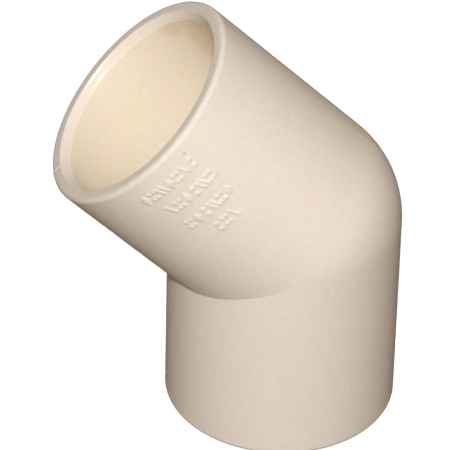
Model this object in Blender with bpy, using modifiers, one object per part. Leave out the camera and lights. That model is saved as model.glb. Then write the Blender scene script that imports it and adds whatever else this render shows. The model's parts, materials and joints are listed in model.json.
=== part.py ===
"""A 45 degree slip elbow: one moulded plastic body with a glue socket in each end.

Metres, +Z up. The elbow stands on the end face of its lower socket. The two socket axes cross at the
bend centre, in the plane y = 0, and the upper socket leans towards -X.
"""

import math

import bmesh
import bpy
from mathutils import Matrix, Vector

# Driving dimensions, in metres.
BEND_ANGLE = math.radians(45)
OUTER_RADIUS = 0.0170
ARM_LENGTH = 0.0310  # from the bend centre to each end face
RIM_ROUND = 0.00075  # rounding of the outer edge of an end face

# The socket takes a tube of 28.575 mm. It tapers so that the tube goes tight part of the way in.
SOCKET_DEPTH = 0.0229
SOCKET_MOUTH_RADIUS = 0.014415
SOCKET_STOP_RADIUS = 0.014235
LEAD_IN_RADIUS = 0.01510  # the bore at the end face, before its lead-in narrows
LEAD_IN_DEPTH = 0.00135
WATERWAY_RADIUS = 0.0117

# Raised mould marks on the near side of the upper socket, in rows round the tube.
MARK_HEIGHT = 0.00015
MARK_SINK = 0.0004  # how far a mark's foot reaches into the wall
MARK_PITCH = 0.0015
MARK_TALL = 0.0020
GEM_WIDE = 0.0011
STUD_RADIUS = 0.00038
STUD_OFFSET = 0.0006  # from the middle of a pair of studs to either
DOT_RADIUS = 0.00028
BAR_WIDTH = 0.0004
BAR_OFFSET = 0.00036  # from the middle of a pair of bars, or of dots side by side, to either
BAR_LEAN = math.radians(24)
# Each row: its distance from the bend centre, how far it starts round the tube from the side, its marks.
MARK_ROWS = (
    (0.0271, -0.0044, ("gem", "dots", "bars", "gem", "dots", "bar", "studs")),
    (0.0235, -0.0029, ("bar", "dots", "gem", "studs", "bars", "dots")),
    (0.0198, -0.0028, ("dots", "gem", "studs", "bars", "dots", "gem")),
    (0.0166, -0.0004, ("studs", "dots", "bar")),
)

# How finely the round shapes are cut.
ROUND_SEGMENTS = 64
RIM_SEGMENTS = 4
BEND_SEGMENTS = 16  # from an arm's side to the end of its round nose
STUD_SEGMENTS = 8
GEM_SEGMENTS = 4
PAST_MOUTH = 0.002  # how far the core stands out of the mouth it opens
WELD = 0.00001
ON_PLANE = 0.000001
SHARP_ANGLE = math.radians(25)

CREAM = (0.80, 0.72, 0.58, 1.0)
CREAM_ROUGHNESS = 0.38

# The box round the elbow has its middle on x = 0, so the lower arm stands off to +X.
RIM_CORNER = (ARM_LENGTH - RIM_ROUND, OUTER_RADIUS - RIM_ROUND)  # centre of the rim's rounding
UPPER_REACH = RIM_CORNER[0] * math.sin(BEND_ANGLE) + RIM_CORNER[1] * math.cos(BEND_ANGLE) + RIM_ROUND
BEND_CENTRE = Vector(((UPPER_REACH - OUTER_RADIUS) / 2, 0, ARM_LENGTH))


def clear_scene():
    for obj in list(bpy.data.objects):
        bpy.data.objects.remove(obj, do_unlink=True)


def new_collection(name):
    collection = bpy.data.collections.new(name)
    bpy.context.scene.collection.children.link(collection)
    return collection


def new_object(name, data, collection, tilt):
    """An object at the bend centre, with its own +Z tilted about Y."""
    obj = bpy.data.objects.new(name, data)
    obj.location = BEND_CENTRE
    obj.rotation_euler = (0, tilt, 0)
    collection.objects.link(obj)
    return obj


def arc(radius, centre, start, end, segments):
    """(radius, height) points of an arc about (centre radius, centre height), angles from the +Z side."""
    angles = [start + (end - start) * i / segments for i in range(segments + 1)]
    return [(centre[0] + radius * math.sin(a), centre[1] + radius * math.cos(a)) for a in angles]


def nose(radius):
    """The round end of an arm beyond the bend centre: a half ball, from its side to its tip."""
    return arc(radius, (0, 0), math.pi / 2, math.pi, BEND_SEGMENTS)[:-1] + [(0, -radius)]


def outer_profile():
    """The outside of one arm: end face, rounded rim, straight side and nose."""
    length, radius = RIM_CORNER
    rim = arc(RIM_ROUND, (radius, length), 0, math.pi / 2, RIM_SEGMENTS)
    return [(0, ARM_LENGTH), *rim, *nose(OUTER_RADIUS)]


def core_profile():
    """The space inside one arm: lead-in, tapered socket, stop shoulder, waterway and nose."""
    stop = ARM_LENGTH - SOCKET_DEPTH
    return [
        (0, ARM_LENGTH + PAST_MOUTH),
        (LEAD_IN_RADIUS, ARM_LENGTH + PAST_MOUTH),
        (LEAD_IN_RADIUS, ARM_LENGTH),
        (SOCKET_MOUTH_RADIUS, ARM_LENGTH - LEAD_IN_DEPTH),
        (SOCKET_STOP_RADIUS, stop),
        (WATERWAY_RADIUS, stop),
        *nose(WATERWAY_RADIUS),
    ]


def mirrored_arms(name, profile, mitre, collection):
    """One arm turned from (radius, height) points down its outer side, cut at the mitre and mirrored there.

    Past the bend centre the arm ends in a half ball, and the part of it that the cut leaves rounds the
    outside of the bend. On the inside of the bend the two arms meet in a crease.
    """
    mesh = bpy.data.meshes.new(name)
    points = [(radius, 0, height) for radius, height in profile]
    mesh.from_pydata(points, [(i, i + 1) for i in range(len(points) - 1)], [])
    obj = new_object(name, mesh, collection, math.pi)
    screw = obj.modifiers.new("Turn", "SCREW")
    screw.steps = screw.render_steps = ROUND_SEGMENTS
    screw.use_merge_vertices = True
    screw.merge_threshold = WELD
    mirror = obj.modifiers.new("Second arm", "MIRROR")
    mirror.mirror_object = mitre
    mirror.use_axis = (False, False, True)
    mirror.use_bisect_axis = (False, False, True)
    mirror.use_bisect_flip_axis = (False, False, True)
    mirror.bisect_threshold = ON_PLANE
    mirror.merge_threshold = WELD
    return obj


def stand_on_side(distance, around, turn=0.0):
    """The place of a mark on the upper arm: its own +Z points out of the tube, its own +Y to the mouth.

    around is the length along the tube's surface, from the side that faces -Y towards the outer bend.
    """
    angle = around / OUTER_RADIUS
    out = Vector((math.sin(angle), -math.cos(angle), 0))
    mouthward = Vector((0, 0, 1))
    sideways = mouthward.cross(out)
    axes = Matrix((sideways, mouthward, out)).transposed().to_4x4()
    centre = OUTER_RADIUS + (MARK_HEIGHT - MARK_SINK) / 2
    return Matrix.Translation(out * centre + mouthward * distance) @ axes @ Matrix.Rotation(turn, 4, "Z")


def add_round(bm, place, radius, segments):
    depth = MARK_HEIGHT + MARK_SINK
    bmesh.ops.create_cone(
        bm, cap_ends=True, segments=segments, radius1=radius, radius2=radius, depth=depth, matrix=place
    )


def add_bar(bm, place):
    size = Matrix.Diagonal((BAR_WIDTH, MARK_TALL, MARK_HEIGHT + MARK_SINK, 1))
    bmesh.ops.create_cube(bm, size=1, matrix=place @ size)


def add_mark(bm, kind, distance, around):
    """One mark, on its cell's middle: one or two leaning bars, two studs, four dots, or a four-sided gem."""
    if kind == "bar":
        add_bar(bm, stand_on_side(distance, around, BAR_LEAN))
    elif kind == "bars":
        for offset in (-BAR_OFFSET, BAR_OFFSET):
            add_bar(bm, stand_on_side(distance, around + offset, BAR_LEAN))
    elif kind == "studs":
        for offset in (-STUD_OFFSET, STUD_OFFSET):
            add_round(bm, stand_on_side(distance + offset, around), STUD_RADIUS, STUD_SEGMENTS)
    elif kind == "dots":
        for offset in (-STUD_OFFSET, STUD_OFFSET):
            for sideways in (-BAR_OFFSET, BAR_OFFSET):
                place = stand_on_side(distance + offset, around + sideways)
                add_round(bm, place, DOT_RADIUS, STUD_SEGMENTS)
    else:
        narrow = Matrix.Diagonal((GEM_WIDE / MARK_TALL, 1, 1, 1))
        add_round(bm, stand_on_side(distance, around) @ narrow, MARK_TALL / 2, GEM_SEGMENTS)


def mark_solids(collection):
    bm = bmesh.new()
    for distance, start, kinds in MARK_ROWS:
        for place, kind in enumerate(kinds):
            add_mark(bm, kind, distance, start + place * MARK_PITCH)
    mesh = bpy.data.meshes.new("raised_marks")
    bm.to_mesh(mesh)
    bm.free()
    return new_object("raised_marks", mesh, collection, -BEND_ANGLE)


def combine(body, operation, other):
    boolean = body.modifiers.new(f"{operation.title()} {other.name}", "BOOLEAN")
    boolean.operation = operation
    boolean.object = other
    other.hide_render = True
    other.display_type = "WIRE"


def bake(body):
    """Turns the modifiers into one mesh, shaded smooth with its real corners sharp."""
    graph = bpy.context.evaluated_depsgraph_get()
    body.data = bpy.data.meshes.new_from_object(body.evaluated_get(graph))
    body.modifiers.clear()
    body.data.shade_smooth()
    body.data.set_sharp_from_angle(angle=SHARP_ANGLE)


def cream_plastic():
    material = bpy.data.materials.new("cream_plastic")
    material.use_nodes = True
    shader = material.node_tree.nodes["Principled BSDF"]
    shader.inputs["Base Color"].default_value = CREAM
    shader.inputs["Roughness"].default_value = CREAM_ROUGHNESS
    shader.inputs["Metallic"].default_value = 0.0
    return material


def elbow_body(collection, helpers):
    """The solid elbow with its raised marks, hollowed by one core that opens both mouths."""
    mitre = new_object("mitre", None, helpers, -BEND_ANGLE / 2)
    body = mirrored_arms("elbow_body", outer_profile(), mitre, collection)
    combine(body, "UNION", mark_solids(helpers))
    combine(body, "DIFFERENCE", mirrored_arms("core", core_profile(), mitre, helpers))
    bake(body)
    body.data.materials.append(cream_plastic())
    return body


def main():
    clear_scene()
    elbow_body(new_collection("conduit_elbow"), new_collection("cutters"))


main()
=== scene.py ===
import json
import math

import bpy
import numpy as np
from mathutils import Matrix, Vector

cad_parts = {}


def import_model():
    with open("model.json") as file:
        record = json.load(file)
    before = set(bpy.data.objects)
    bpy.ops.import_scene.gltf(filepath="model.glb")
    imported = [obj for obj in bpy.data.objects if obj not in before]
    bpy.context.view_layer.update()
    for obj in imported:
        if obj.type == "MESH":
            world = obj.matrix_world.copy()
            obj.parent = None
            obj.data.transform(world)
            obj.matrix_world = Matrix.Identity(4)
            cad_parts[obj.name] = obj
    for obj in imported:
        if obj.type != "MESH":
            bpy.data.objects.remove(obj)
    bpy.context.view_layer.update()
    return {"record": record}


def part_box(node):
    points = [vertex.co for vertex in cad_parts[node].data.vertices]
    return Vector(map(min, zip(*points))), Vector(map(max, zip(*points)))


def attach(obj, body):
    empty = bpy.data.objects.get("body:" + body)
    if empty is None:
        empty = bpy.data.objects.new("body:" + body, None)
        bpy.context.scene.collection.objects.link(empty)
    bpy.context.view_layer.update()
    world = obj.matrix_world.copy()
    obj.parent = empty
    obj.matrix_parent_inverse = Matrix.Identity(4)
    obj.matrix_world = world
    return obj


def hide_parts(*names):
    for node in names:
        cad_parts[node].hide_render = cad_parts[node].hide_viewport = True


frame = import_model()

# The frame's own measures, in metres. The elbow stands on its lower socket's end face, and its two
# socket axes cross at the bend centre, in the plane y = 0.
BEND_ANGLE = math.radians(45)
MOUNTS = {mount["name"]: Vector(mount["pos_m"]) for mount in frame["record"]["mounts"]}
_, body_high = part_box("elbow_body")
OUTER_RADIUS = body_high.y
BEND_X = body_high.x - OUTER_RADIUS
UPPER_END = MOUNTS["upper_socket_end"]
ARM_LENGTH = (UPPER_END.z - UPPER_END.x + BEND_X) / (1 + 1 / math.sin(BEND_ANGLE))
BEND_CENTRE = Vector((BEND_X, 0, ARM_LENGTH))
SOCKET_DEPTH = MOUNTS["lower_socket_stop"].z

# Sizes that the frame doesn't state, in metres.
MM = 0.001
SOCKET_MOUTH_RADIUS = 14.415 * MM
SOCKET_STOP_RADIUS = 14.235 * MM
LEAD_IN_RADIUS = 15.10 * MM
LEAD_IN_DEPTH = 1.35 * MM
WATERWAY_RADIUS = 11.70 * MM
RIM_ROUND = 0.75 * MM
FACE_ROUND = 0.30 * MM
LEAD_IN_ROUND = 0.60 * MM
STOP_ROUND = 0.30 * MM
CREASE_ROUND = 0.30 * MM

# Raised mould marks on the side of the upper arm that faces -Y.
MARK_HEIGHT = 0.115 * MM
MARK_EDGE = 0.42 * MM  # width of the soft slope round a mark, half of it on each side of its outline
MARK_PITCH = 1.50 * MM
MARK_TALL = 2.00 * MM
GEM_WIDE = 1.10 * MM
STUD_RADIUS = 0.38 * MM
STUD_OFFSET = 0.60 * MM
DOT_RADIUS = 0.28 * MM
BAR_WIDTH = 0.40 * MM
BAR_OFFSET = 0.36 * MM
BAR_LEAN = math.radians(24)
# Each row: its distance from the bend centre, how far it starts round the tube from the side, its marks.
MARK_ROWS = (
    (27.1 * MM, -4.4 * MM, ("gem", "dots", "bars", "gem", "dots", "bar", "studs")),
    (23.5 * MM, -2.9 * MM, ("bar", "dots", "gem", "studs", "bars", "dots")),
    (19.8 * MM, -2.8 * MM, ("dots", "gem", "studs", "bars", "dots", "gem")),
    (16.6 * MM, -0.4 * MM, ("studs", "dots", "bar")),
)

# The flash left where the two mould halves met, in the plane y = 0.
FLASH_HEIGHT = 0.015 * MM
BEND_FLASH_HEIGHT = 0.050 * MM
FACE_FLASH_HEIGHT = 0.12 * MM
FLASH_WIDTH = 0.08 * MM
BEND_FLASH_REACH = 0.3  # share of an arm's length over which the bend's flash fades to the lower height
FACE_FLASH_RISE = 0.15 * MM  # from the lead-in's edge to where the end face's flash has its full height

# Spots left by moulding and handling, and patches of painted shade in the upper bore: how far along the
# upper or lower arm, how far from its axis, angle round it from the outer side of the bend (-90 degrees
# faces -Y), and the spot's own radius.
DARK_SPOTS = (
    ("upper", 20.0 * MM, 14.3 * MM, 67, 0.11 * MM),
    ("upper", 28.9 * MM, 17.0 * MM, -73.5, 0.20 * MM),
)
PALE_SPOTS = (
    ("lower", 20.1 * MM, 17.0 * MM, -67.8, 0.15 * MM),
    ("lower", 19.9 * MM, 17.0 * MM, -67.1, 0.18 * MM),
    ("lower", 19.7 * MM, 17.0 * MM, -66.4, 0.14 * MM),
    ("upper", 8.6 * MM, 17.0 * MM, -117, 0.24 * MM),
)
# Brown painted shade in the upper bore, in its corner under the rim where the bore lies in shade.
PAINTED_SHADE_PATCHES = (
    ("upper", 28.8 * MM, 14.4 * MM, 61, 2.0 * MM),
    ("upper", 28.2 * MM, 14.4 * MM, 45, 2.8 * MM),
    ("upper", 25.2 * MM, 14.4 * MM, 47, 3.0 * MM),
    ("upper", 21.8 * MM, 14.4 * MM, 50, 3.0 * MM),
)

# The mesh grid.
FINE_STEP = 0.10 * MM  # over the marks
COARSE_STEP = 0.60 * MM  # elsewhere round the tube, and half the step along the lower arm
MARKED_ARC = (-6.6 * MM, 6.2 * MM)  # round the tube from the side that faces -Y
MARKED_LENGTH = (14.6 * MM, 28.9 * MM)  # along the upper arm
FLASH_REACH = 3 * FLASH_WIDTH  # how far the finer grid reaches on each side of the flash line
FLASH_STEPS = 5  # from the flash line to the end of that reach
SIDE_STEPS = 16  # along an arm's outside, from the bend to the marks
RIM_STEPS = 2  # from the marks to the rim's rounding
WATERWAY_STEPS = 4  # along an arm's waterway
BEND_STEPS = 14
CORNER_STEPS = 5
HOLD = 0.01 * MM  # from a rounding to the row that holds the straight stretch beside it


def lerp(start, end, count):
    """count values from start to end, the start left out."""
    return [start + (end - start) * (i + 1) / count for i in range(count)]


def grid_angles():
    """Angles round the tube, 0 on the outer side of the bend and -90 degrees on the side facing -Y."""
    fine = FINE_STEP / OUTER_RADIUS
    coarse = COARSE_STEP / OUTER_RADIUS
    flash = FLASH_REACH / OUTER_RADIUS
    side = -math.pi / 2
    first, last = (side + arc / OUTER_RADIUS for arc in MARKED_ARC)
    stops = [
        (-math.pi + flash, flash / FLASH_STEPS),
        (first, coarse),
        (last, fine),
        (-flash, coarse),
        (flash, flash / FLASH_STEPS),
        (math.pi - flash, coarse),
        (math.pi, flash / FLASH_STEPS),
    ]
    angles, at = [], -math.pi
    for stop, step in stops:
        angles += lerp(at, stop, math.ceil((stop - at) / step))
        at = stop
    return np.array(angles)


def rounded(points, radii):
    """A polyline of (radius, height) points with each inner corner turned into an arc of its own radius.

    A point just before and just after each arc keeps the straight stretches shaded straight.
    """
    out = [points[0]]
    for before, corner, after, radius in zip(points, points[1:], points[2:], radii):
        before, corner, after = (Vector(p) for p in (before, corner, after))
        back, on = (before - corner).normalized(), (after - corner).normalized()
        half = back.angle(on) / 2
        reach = radius / math.tan(half)
        centre = corner + (back + on).normalized() * radius / math.sin(half)
        start, end = (corner + way * reach - centre for way in (back, on))
        start, end = start.normalized(), end.normalized()
        out.append(tuple(corner + back * (reach + HOLD)))
        for i in range(CORNER_STEPS + 1):
            out.append(tuple(centre + start.slerp(end, i / CORNER_STEPS) * radius))
        out.append(tuple(corner + on * (reach + HOLD)))
    out.append(points[-1])
    return out


def rim_profile():
    """From an arm's outer side over its end face and down its socket to the waterway, edges rounded."""
    stop = ARM_LENGTH - SOCKET_DEPTH
    corners = [
        (OUTER_RADIUS, ARM_LENGTH - 2 * RIM_ROUND),
        (OUTER_RADIUS, ARM_LENGTH),
        (LEAD_IN_RADIUS, ARM_LENGTH),
        (SOCKET_MOUTH_RADIUS, ARM_LENGTH - LEAD_IN_DEPTH),
        (SOCKET_STOP_RADIUS, stop),
        (WATERWAY_RADIUS, stop),
        (WATERWAY_RADIUS, stop - 2 * STOP_ROUND),
    ]
    return rounded(corners, [RIM_ROUND, FACE_ROUND, LEAD_IN_ROUND, STOP_ROUND, STOP_ROUND])


def crease_round(radius, angles):
    """The crease's rounding on the inner side of the bend, fading to nothing at the sides."""
    inner = np.maximum(-np.cos(angles), 0) * radius
    return CREASE_ROUND * np.tanh(inner / CREASE_ROUND)


def straight_start(radius, angles):
    """How far from the bend centre, along an arm, its straight side starts at each angle."""
    inner = np.maximum(-np.cos(angles), 0) * radius
    return (inner + crease_round(radius, angles)) * math.tan(BEND_ANGLE / 2)


def arm_row(arm, radius, heights, angles):
    """Points round one arm, as (angles, 3)."""
    tilt = BEND_ANGLE if arm == "upper" else 0.0
    out = np.array((math.cos(tilt), 0, math.sin(tilt)))
    along = np.array((-math.sin(tilt), 0, math.cos(tilt))) if arm == "upper" else np.array((0, 0, -1))
    side = np.array((0, 1, 0))
    points = radius * np.cos(angles)[:, None] * out + radius * np.sin(angles)[:, None] * side
    return np.array(BEND_CENTRE) + points + np.broadcast_to(heights, angles.shape)[:, None] * along


def bend_row(turn, radius, angles):
    """Points round the bend, turned from the lower arm: a ball outside, a rounded crease inside."""
    across = radius * np.cos(angles)
    fillet = crease_round(radius, angles)
    swing = np.where(across > 0, across, fillet)
    off = np.where(across > 0, 0, (fillet - across) / math.cos(BEND_ANGLE / 2))
    x = -off * math.cos(BEND_ANGLE / 2) + swing * math.cos(turn)
    z = -off * math.sin(BEND_ANGLE / 2) + swing * math.sin(turn)
    return np.array(BEND_CENTRE) + np.stack([x, radius * np.sin(angles), z], 1)


def arm_rows(arm, angles, marked):
    """Rows of one arm from the bend out along its side, over its rim and in again to the bend."""
    profile = rim_profile()
    rows = []
    start, end = straight_start(OUTER_RADIUS, angles), profile[0][1]
    first = MARKED_LENGTH[0]
    for i in range(SIDE_STEPS):
        rows.append((OUTER_RADIUS, start + (first - start) * i / SIDE_STEPS))
    step = FINE_STEP if marked else COARSE_STEP * 2
    last = MARKED_LENGTH[1]
    for height in [first] + lerp(first, last, math.ceil((last - first) / step)):
        rows.append((OUTER_RADIUS, height))
    rows += [(OUTER_RADIUS, height) for height in lerp(last, end, RIM_STEPS)]
    rows += profile[1:]
    start = straight_start(WATERWAY_RADIUS, angles)
    rows += [(WATERWAY_RADIUS, height) for height in lerp(profile[-1][1], start, WATERWAY_STEPS)]
    return [arm_row(arm, radius, heights, angles) for radius, heights in rows]


def closed_grid(name, rows):
    """A closed mesh from rows that each close on themselves and on the next, the last on the first."""
    points = np.concatenate(rows)
    around, count = len(rows[0]), len(points)
    index = np.arange(count).reshape(len(rows), around)
    right, up = np.roll(index, -1, 1), np.roll(index, -1, 0)
    faces = np.stack([index, right, np.roll(right, -1, 0), up], -1).reshape(-1, 4)
    mesh = bpy.data.meshes.new(name)
    mesh.from_pydata(points.tolist(), [], faces.tolist())
    mesh.shade_smooth()
    return mesh


def elbow_mesh():
    """One closed grid: up the outside from the lower end to the upper one and back down the inside."""
    angles = grid_angles()
    lower = arm_rows("lower", angles, marked=False)
    upper = arm_rows("upper", angles, marked=True)
    turns = [BEND_ANGLE * i / BEND_STEPS for i in range(1, BEND_STEPS)]
    outside = [bend_row(turn, OUTER_RADIUS, angles) for turn in turns]
    inside = [bend_row(turn, WATERWAY_RADIUS, angles) for turn in turns]
    rows = lower[::-1] + outside + upper + inside[::-1]
    return closed_grid("elbow", rows)


def bar_distance(across, along):
    """Signed distance, in metres, to a leaning bar's outline, negative inside it."""
    x = across * math.cos(BAR_LEAN) + along * math.sin(BAR_LEAN)
    y = along * math.cos(BAR_LEAN) - across * math.sin(BAR_LEAN)
    return np.hypot(x, np.maximum(np.abs(y) - (MARK_TALL - BAR_WIDTH) / 2, 0)) - BAR_WIDTH / 2


def mark_distance(kind, across, along):
    """Signed distance, in metres, to one mark's outline, negative inside it."""
    if kind == "bar":
        return bar_distance(across, along)
    if kind == "bars":
        left, right = (bar_distance(across + offset, along) for offset in (BAR_OFFSET, -BAR_OFFSET))
        return np.minimum(left, right)
    if kind == "studs":
        return np.hypot(across, np.abs(along) - STUD_OFFSET) - STUD_RADIUS
    if kind == "dots":
        return np.hypot(np.abs(across) - BAR_OFFSET, np.abs(along) - STUD_OFFSET) - DOT_RADIUS
    spread = np.abs(across) * MARK_TALL + np.abs(along) * GEM_WIDE - MARK_TALL * GEM_WIDE / 2
    return spread / math.hypot(MARK_TALL, GEM_WIDE)


def smooth(value):
    """0 up to 0, 1 from 1 on, and smooth between them."""
    value = np.clip(value, 0, 1)
    return value * value * (3 - 2 * value)


def tube_places(points):
    """Which arm points lie on, their distance along it and from its axis, and the length round its side.

    The last is measured on the outside of the tube, from the side that faces -Y towards the outer bend.
    """
    x, y, z = (points - np.array(BEND_CENTRE)).T
    sine, cosine = math.sin(BEND_ANGLE), math.cos(BEND_ANGLE)
    upper = z * math.cos(BEND_ANGLE / 2) > x * math.sin(BEND_ANGLE / 2)
    along = np.where(upper, z * cosine - x * sine, -z)
    outward = np.where(upper, x * cosine + z * sine, x)
    around = np.arctan2(outward, -y) * OUTER_RADIUS
    return upper, along, np.hypot(outward, y), around


def mark_relief(upper, along, radial, around):
    """How far each point is raised by the mould marks, from 0 to 1."""
    raised = np.zeros(len(along))
    for distance, start, kinds in MARK_ROWS:
        for place, kind in enumerate(kinds):
            gap = mark_distance(kind, around - start - place * MARK_PITCH, along - distance)
            raised = np.maximum(raised, smooth(0.5 - gap / MARK_EDGE))
    return np.where(upper & (radial > OUTER_RADIUS - 0.1 * MM), raised, 0)


def flash_height(points, upper, along, radial):
    """Height of the flash line: outside on both arms, and over the inner side of the upper end face."""
    # On the outside it starts 0.3 mm below the surface and is whole 0.2 mm further out.
    outside = smooth((radial - OUTER_RADIUS + 0.3 * MM) / (0.2 * MM))
    # It stops short of the end face that the elbow stands on.
    clear = np.where(upper, 1, smooth((ARM_LENGTH - RIM_ROUND - along) / RIM_ROUND))
    at_bend = smooth(1 - np.abs(along) / (BEND_FLASH_REACH * ARM_LENGTH))
    low = (FLASH_HEIGHT + (BEND_FLASH_HEIGHT - FLASH_HEIGHT) * at_bend) * outside * clear
    inner_side = upper & (points[:, 0] < UPPER_END.x)
    over_face = smooth((along - ARM_LENGTH + RIM_ROUND) / RIM_ROUND) * inner_side
    over_face = over_face * smooth((radial - LEAD_IN_RADIUS) / FACE_FLASH_RISE)
    return np.exp(-((points[:, 1] / FLASH_WIDTH) ** 2)) * np.maximum(low, FACE_FLASH_HEIGHT * over_face)


def raise_details(mesh):
    """Moves the surface out along its normals for the mould marks and the flash line.

    It also stores what the material reads at each point: its place on the arm and how far it is raised.
    """
    count = len(mesh.vertices)
    points, normals = np.empty(count * 3, np.float32), np.empty(count * 3, np.float32)
    mesh.vertices.foreach_get("co", points)
    mesh.vertex_normals.foreach_get("vector", normals)
    points, normals = points.reshape(-1, 3), normals.reshape(-1, 3)
    upper, along, radial, around = tube_places(points)
    marks = mark_relief(upper, along, radial, around)
    lift = marks * MARK_HEIGHT + flash_height(points, upper, along, radial)
    mesh.vertices.foreach_set("co", (points + normals * lift[:, None]).ravel())
    for name, values in (("along", along), ("radial", radial), ("raised", marks)):
        mesh.attributes.new(name, "FLOAT", "POINT").data.foreach_set("value", values.astype(np.float32))
    mesh.update()


def node(tree, kind, inputs, **settings):
    """A new shader node, each of its inputs set to a value or linked from another node's output."""
    made = tree.nodes.new("ShaderNode" + kind)
    for name, value in settings.items():
        setattr(made, name, value)
    for name, value in inputs.items():
        if isinstance(value, bpy.types.NodeSocket):
            tree.links.new(value, made.inputs[name])
        else:
            made.inputs[name].default_value = value
    return made


def calculate(tree, operation, *values):
    """The result of a Math node."""
    made = node(tree, "Math", dict(enumerate(values)), operation=operation)
    return made.outputs["Value"]


def ramp(tree, value, low, high):
    """0 where value is at low, 1 where it is at high, and smooth between them."""
    inputs = {"Value": value, "From Min": low, "From Max": high}
    return node(tree, "MapRange", inputs, interpolation_type="SMOOTHSTEP").outputs["Result"]


def stored(tree, name):
    """A value that raise_details stored at the mesh's points."""
    return node(tree, "Attribute", {}, attribute_name=name).outputs["Fac"]


def noise(tree, place, size, detail=2.0):
    """Noise from 0 to 1 with features of one size, in metres."""
    inputs = {"Vector": place, "Scale": 1 / size, "Detail": detail}
    return node(tree, "TexNoise", inputs).outputs["Fac"]


def tint(tree, share, first, second):
    """The first colour turned into the second by a share from 0 to 1."""
    made = tree.nodes.new("ShaderNodeMix")
    made.data_type = "RGBA"
    sockets = {s.name: s for s in made.inputs if s.type == "RGBA"}
    for name, value in (("A", first), ("B", second)):
        if isinstance(value, bpy.types.NodeSocket):
            tree.links.new(value, sockets[name])
        else:
            sockets[name].default_value = (*value, 1)
    tree.links.new(share, made.inputs["Factor"])
    return next(s for s in made.outputs if s.type == "RGBA")


CREAM = (0.838, 0.766, 0.662)
BORE_CREAM = (0.866, 0.774, 0.618)
PINK_CREAM = (0.865, 0.735, 0.640)
GREEN_CREAM = (0.820, 0.785, 0.640)
# Grey of the end faces, also laid over the lead-in as painted shade.
FACE_GREY = (0.745, 0.690, 0.610)
GRIME = (0.32, 0.27, 0.23)
# Brown of the painted shade in the upper bore's corner under the rim.
PAINTED_SHADE_BROWN = (0.68, 0.48, 0.22)
# Pale colour of scuffs, scratches and pale spots, and also a painted highlight on the marks' raised tops.
SCUFF_AND_HIGHLIGHT = (0.93, 0.90, 0.84)


def on_arm(arm, along, radial, angle):
    """The point at a distance along an arm and from its axis, at an angle in degrees round it."""
    return Vector(arm_row(arm, radial, np.array([along]), np.array([math.radians(angle)]))[0])


def spots(tree, place, marks):
    """1 inside any of the spots, fading out round each."""
    total = 0.0
    for arm, along, radial, angle, size in marks:
        inputs = {0: place, 1: on_arm(arm, along, radial, angle)}
        away = node(tree, "VectorMath", inputs, operation="DISTANCE").outputs["Value"]
        total = calculate(tree, "MAXIMUM", total, ramp(tree, away, 1.3 * size, 0.5 * size))
    return total


def ring(tree, radial, middle, width):
    """1 at one distance from the arm's axis, fading to 0 within a width on both sides."""
    away = calculate(tree, "ABSOLUTE", calculate(tree, "SUBTRACT", radial, middle))
    return ramp(tree, away, width, 0.3 * width)


def random_specks(tree, place, apart, size, share):
    """Round specks of one radius, in a share of cells that are so far apart."""
    cells = node(tree, "TexVoronoi", {"Vector": place, "Scale": 1 / apart})
    picked = node(tree, "SeparateColor", {"Color": cells.outputs["Color"]}).outputs["Red"]
    is_picked = calculate(tree, "LESS_THAN", picked, share)
    inside = ramp(tree, cells.outputs["Distance"], 1.3 * size / apart, 0.5 * size / apart)
    return calculate(tree, "MULTIPLY", inside, is_picked)


def hairlines(tree, place, turn, apart):
    """Thin broken scratches, about so far apart."""
    turned = node(tree, "Mapping", {"Vector": place, "Rotation": turn}).outputs["Vector"]
    inputs = {
        "Vector": turned,
        "Scale": math.pi / 10 / apart,  # at scale 1 the waves are pi / 10 apart
        "Distortion": 6.0,
        "Detail": 1.0,
        "Detail Scale": 0.6,
    }
    wave = ramp(tree, node(tree, "TexWave", inputs).outputs["Fac"], 0.9990, 0.9999)
    patches = ramp(tree, noise(tree, place, 7 * MM), 0.52, 0.62)
    breaks = ramp(tree, noise(tree, turned, 1.8 * MM), 0.50, 0.60)
    return calculate(tree, "MULTIPLY", wave, calculate(tree, "MULTIPLY", patches, breaks))


def surface_masks(tree):
    """Where on the elbow each point lies, as shares from 0 to 1."""
    along, radial = stored(tree, "along"), stored(tree, "radial")
    inside = ramp(tree, radial, LEAD_IN_RADIUS + 0.05 * MM, LEAD_IN_RADIUS - 0.05 * MM)
    past_bore = ramp(tree, radial, SOCKET_MOUTH_RADIUS + 0.02 * MM, SOCKET_MOUTH_RADIUS + 0.15 * MM)
    at_end = ramp(tree, along, ARM_LENGTH - 1.4 * RIM_ROUND, ARM_LENGTH - 0.15 * MM)
    past_lead_in = ramp(tree, radial, LEAD_IN_RADIUS - 0.05 * MM, LEAD_IN_RADIUS + 0.1 * MM)
    near_end = ramp(tree, along, ARM_LENGTH - 0.9 * MM, ARM_LENGTH - 0.2 * MM)
    near_side = ramp(tree, radial, OUTER_RADIUS - 0.4 * MM, OUTER_RADIUS - 0.1 * MM)
    return {
        "inside": inside,
        "outside": calculate(tree, "SUBTRACT", 1.0, inside),
        "bore": ramp(tree, radial, SOCKET_MOUTH_RADIUS + 0.25 * MM, SOCKET_MOUTH_RADIUS - 0.05 * MM),
        "lead_in": calculate(tree, "MULTIPLY", past_bore, inside),
        "face": calculate(tree, "MULTIPLY", at_end, past_lead_in),
        "rim": calculate(tree, "MULTIPLY", near_end, near_side),
        "mark": stored(tree, "raised"),
    }


def wear(tree, place, outside):
    """Scuffed patches, mostly on the outside, and scratches, only there."""
    patches = ramp(tree, noise(tree, place, 1.4 * MM, 4.0), 0.56, 0.70)
    mostly_outside = calculate(tree, "MULTIPLY_ADD", outside, 0.9, 0.1)
    scratches = calculate(
        tree, "MAXIMUM",
        hairlines(tree, place, (0.4, 0.9, 0.3), 5 * MM),
        hairlines(tree, place, (1.1, -0.5, 0.8), 7 * MM),
    )
    return (
        calculate(tree, "MULTIPLY", patches, mostly_outside),
        calculate(tree, "MULTIPLY", scratches, outside),
    )


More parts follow.
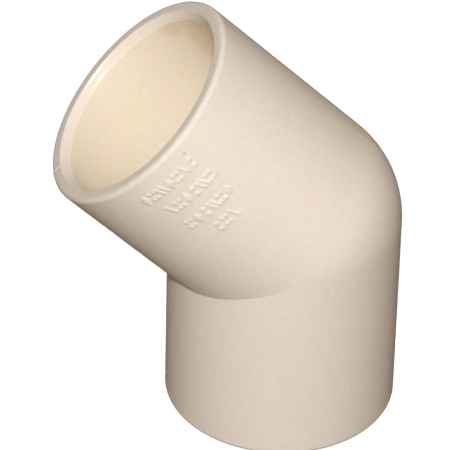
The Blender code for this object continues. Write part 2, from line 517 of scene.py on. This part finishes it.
def plastic_colour(tree, place, on, scuffed, scratched):
    """Cream with thin layers of other colours over it, each laid over the ones before."""
    pink = ramp(tree, noise(tree, place, 1.6 * MM), 0.48, 0.72)
    green = ramp(tree, noise(tree, place, 2.3 * MM), 0.50, 0.74)
    grain = ramp(tree, noise(tree, place, 0.45 * MM, 3.0), 0.50, 0.75)
    layers = (
        (pink, 0.55, PINK_CREAM),
        (green, 0.50, GREEN_CREAM),
        (on["face"], 0.90, FACE_GREY),
        # Painted shade: the whole lead-in greyed to darken it where the lamp lights it brightly.
        (on["lead_in"], 0.45, FACE_GREY),
        (grain, 0.10, GRIME),
        # Painted shade: brown patches in the upper bore's corner under the rim.
        (calculate(tree, "MULTIPLY", spots(tree, place, PAINTED_SHADE_PATCHES), on["bore"]), 0.34, PAINTED_SHADE_BROWN),
        (scuffed, 0.20, SCUFF_AND_HIGHLIGHT),
        # Painted highlight: the raised marks' tops made paler.
        (on["mark"], 0.10, SCUFF_AND_HIGHLIGHT),
        (scratched, 0.45, SCUFF_AND_HIGHLIGHT),
        (spots(tree, place, PALE_SPOTS), 0.50, SCUFF_AND_HIGHLIGHT),
        (random_specks(tree, place, 4.5 * MM, 0.09 * MM, 0.12), 0.55, GRIME),
        (spots(tree, place, DARK_SPOTS), 0.55, GRIME),
    )
    colour = tint(tree, on["bore"], CREAM, BORE_CREAM)
    for mask, share, top in layers:
        colour = tint(tree, calculate(tree, "MULTIPLY", mask, share), colour, top)
    return colour


def plastic_roughness(tree, place, on, scuffed):
    """Uneven satin, rougher on the rim and the lead-in, with two polished rings in the lead-in."""
    radial = stored(tree, "radial")
    polished = calculate(
        tree, "MAXIMUM",
        ring(tree, radial, LEAD_IN_RADIUS - 0.12 * MM, 0.07 * MM),
        ring(tree, radial, SOCKET_MOUTH_RADIUS + 0.17 * MM, 0.05 * MM),
    )
    changes = (
        (on["inside"], -0.08),
        (on["lead_in"], 0.40),
        (polished, -0.54),
        (scuffed, 0.08),
        (on["rim"], 0.32),
        (on["mark"], -0.04),
    )
    rough = calculate(tree, "MULTIPLY_ADD", noise(tree, place, 1.8 * MM, 4.0), 0.20, 0.40)
    for mask, change in changes:
        rough = calculate(tree, "MULTIPLY_ADD", mask, change, rough)
    return rough


def plastic_height(tree, place, on, scratched):
    """Heights in metres: grain and a slow swell, turning lines on the lead-in, and cut-in scratches."""
    height = calculate(tree, "MULTIPLY", noise(tree, place, 0.30 * MM, 3.0), 0.009 * MM)
    height = calculate(tree, "MULTIPLY_ADD", noise(tree, place, 2.5 * MM), 0.030 * MM, height)
    mostly_outside = calculate(tree, "MULTIPLY_ADD", on["outside"], 0.92, 0.08)
    height = calculate(tree, "MULTIPLY", height, mostly_outside)
    inputs = {"W": stored(tree, "along"), "Scale": 1 / (0.16 * MM), "Detail": 1.0}
    lines = node(tree, "TexNoise", inputs, noise_dimensions="1D").outputs["Fac"]
    lines = calculate(tree, "MULTIPLY", lines, on["lead_in"])
    height = calculate(tree, "MULTIPLY_ADD", lines, 0.012 * MM, height)
    return calculate(tree, "MULTIPLY_ADD", scratched, -0.004 * MM, height)


def cream_plastic():
    """Moulded cream plastic, mottled and a little worn, with a yellower bore, greyer ends, and painted
    shade and highlight: brown shade in the bore under the mouth, grey shade over the lead-in, paler tops
    on the marks.
    """
    material = bpy.data.materials.new("cream_plastic")
    material.use_nodes = True
    tree = material.node_tree
    shader = tree.nodes["Principled BSDF"]
    place = node(tree, "TexCoord", {}).outputs["Object"]
    on = surface_masks(tree)
    scuffed, scratched = wear(tree, place, on["outside"])
    height = plastic_height(tree, place, on, scratched)
    bump = node(tree, "Bump", {"Height": height, "Distance": 1.0})
    tree.links.new(plastic_colour(tree, place, on, scuffed, scratched), shader.inputs["Base Color"])
    tree.links.new(plastic_roughness(tree, place, on, scuffed), shader.inputs["Roughness"])
    tree.links.new(bump.outputs["Normal"], shader.inputs["Normal"])
    shader.inputs["IOR"].default_value = 1.53
    shader.inputs["Subsurface Weight"].default_value = 0.25
    shader.inputs["Subsurface Radius"].default_value = (1.0, 0.6, 0.4)
    shader.inputs["Subsurface Scale"].default_value = 0.8 * MM
    return material


def elbow():
    """The whole elbow as one piece, in place of its CAD node."""
    mesh = elbow_mesh()
    raise_details(mesh)
    piece = bpy.data.objects.new("moulded_elbow", mesh)
    bpy.context.scene.collection.objects.link(piece)
    piece.data.materials.append(cream_plastic())
    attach(piece, "root")
    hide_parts("elbow_body")


# The camera, as seen from the bend centre.
AZIMUTH, ELEVATION = math.radians(-9.21), math.radians(36.32)
DISTANCE = 0.639
LENS = 352.6
ROLL = math.radians(1.46)
AIM_RIGHT, AIM_UP = -8.62 * MM, -1.72 * MM


def direction(azimuth, elevation):
    """The unit vector to where something seen at that azimuth and elevation lies. Azimuth 0 is at -Y."""
    level = math.cos(elevation)
    return Vector((math.sin(azimuth) * level, -math.cos(azimuth) * level, math.sin(elevation)))


def camera():
    data = bpy.data.cameras.new("camera")
    data.sensor_width = 36
    data.lens = LENS
    data.clip_start, data.clip_end = 0.05, 20
    obj = bpy.data.objects.new("camera", data)
    bpy.context.scene.collection.objects.link(obj)
    back = direction(AZIMUTH, ELEVATION)
    right = Vector((math.cos(AZIMUTH), math.sin(AZIMUTH), 0))
    obj.location = BEND_CENTRE + back * DISTANCE
    target = BEND_CENTRE + right * AIM_RIGHT + back.cross(right) * AIM_UP
    look = (target - obj.location).to_track_quat("-Z", "Y")
    obj.rotation_euler = (look.to_matrix() @ Matrix.Rotation(ROLL, 3, "Z")).to_euler()
    bpy.context.scene.camera = obj


# Each light: its name, its azimuth and elevation from the bend centre, its distance, size and power.
LIGHTS = (
    ("key", AZIMUTH - math.radians(1), ELEVATION + math.radians(5), 0.62, 0.05, 3.5),
    ("top", AZIMUTH, math.radians(88), 1.2, 0.8, 0.65),
    ("back", math.radians(160), math.radians(42), 1.2, 0.5, 1.2),
    ("front", AZIMUTH, math.radians(3), 1.2, 0.4, 0.9),
    ("under", AZIMUTH + math.pi, -ELEVATION, 0.8, 0.2, 5.5),
)


def area_light(name, azimuth, elevation, distance, size, power):
    """A round lamp that shines at the bend centre."""
    data = bpy.data.lights.new(name, "AREA")
    data.shape = "DISK"
    data.size = size
    data.energy = power
    obj = bpy.data.objects.new(name, data)
    bpy.context.scene.collection.objects.link(obj)
    toward = direction(azimuth, elevation)
    obj.location = BEND_CENTRE + toward * distance
    obj.rotation_euler = toward.to_track_quat("Z", "Y").to_euler()


FLOOR_HALF = 3.0  # metres from its middle to each side
FLOOR_GREY = (0.25, 0.25, 0.25, 1)
FLOOR_GLOW = 0.93  # it glows nearly white, so the elbow's shadow on it stays faint


def stage():
    """A plain pale floor that takes no part in lighting the elbow."""
    mesh = bpy.data.meshes.new("floor")
    half = FLOOR_HALF
    corners = [(-half, -half, 0), (half, -half, 0), (half, half, 0), (-half, half, 0)]
    mesh.from_pydata(corners, [], [(0, 1, 2, 3)])
    floor = bpy.data.objects.new("floor", mesh)
    bpy.context.scene.collection.objects.link(floor)
    material = bpy.data.materials.new("floor")
    material.use_nodes = True
    shader = material.node_tree.nodes["Principled BSDF"]
    shader.inputs["Base Color"].default_value = FLOOR_GREY
    shader.inputs["Roughness"].default_value = 0.9
    shader.inputs["Emission Color"].default_value = (1, 1, 1, 1)
    shader.inputs["Emission Strength"].default_value = FLOOR_GLOW
    mesh.materials.append(material)
    floor.visible_diffuse = False
    floor.visible_glossy = False
    floor.visible_transmission = False
    floor.visible_shadow = False


ROOM_COLOUR = (1.0, 0.73, 0.53, 1)
ROOM_STRENGTH = 0.165


def world():
    """Weak warm light from all round, behind a white backdrop that only the camera sees."""
    data = bpy.data.worlds.new("world")
    bpy.context.scene.world = data
    data.use_nodes = True
    tree = data.node_tree
    tree.nodes.clear()
    room = tree.nodes.new("ShaderNodeBackground")
    room.inputs["Color"].default_value = ROOM_COLOUR
    room.inputs["Strength"].default_value = ROOM_STRENGTH
    seen = tree.nodes.new("ShaderNodeBackground")
    seen.inputs["Color"].default_value = (1, 1, 1, 1)
    path = tree.nodes.new("ShaderNodeLightPath")
    mix = tree.nodes.new("ShaderNodeMixShader")
    out = tree.nodes.new("ShaderNodeOutputWorld")
    tree.links.new(path.outputs["Is Camera Ray"], mix.inputs["Fac"])
    tree.links.new(room.outputs["Background"], mix.inputs[1])
    tree.links.new(seen.outputs["Background"], mix.inputs[2])
    tree.links.new(mix.outputs["Shader"], out.inputs["Surface"])


camera()
elbow()
stage()
world()
for light in LIGHTS:
    area_light(*light)
bpy.context.scene.view_settings.view_transform = "Standard"
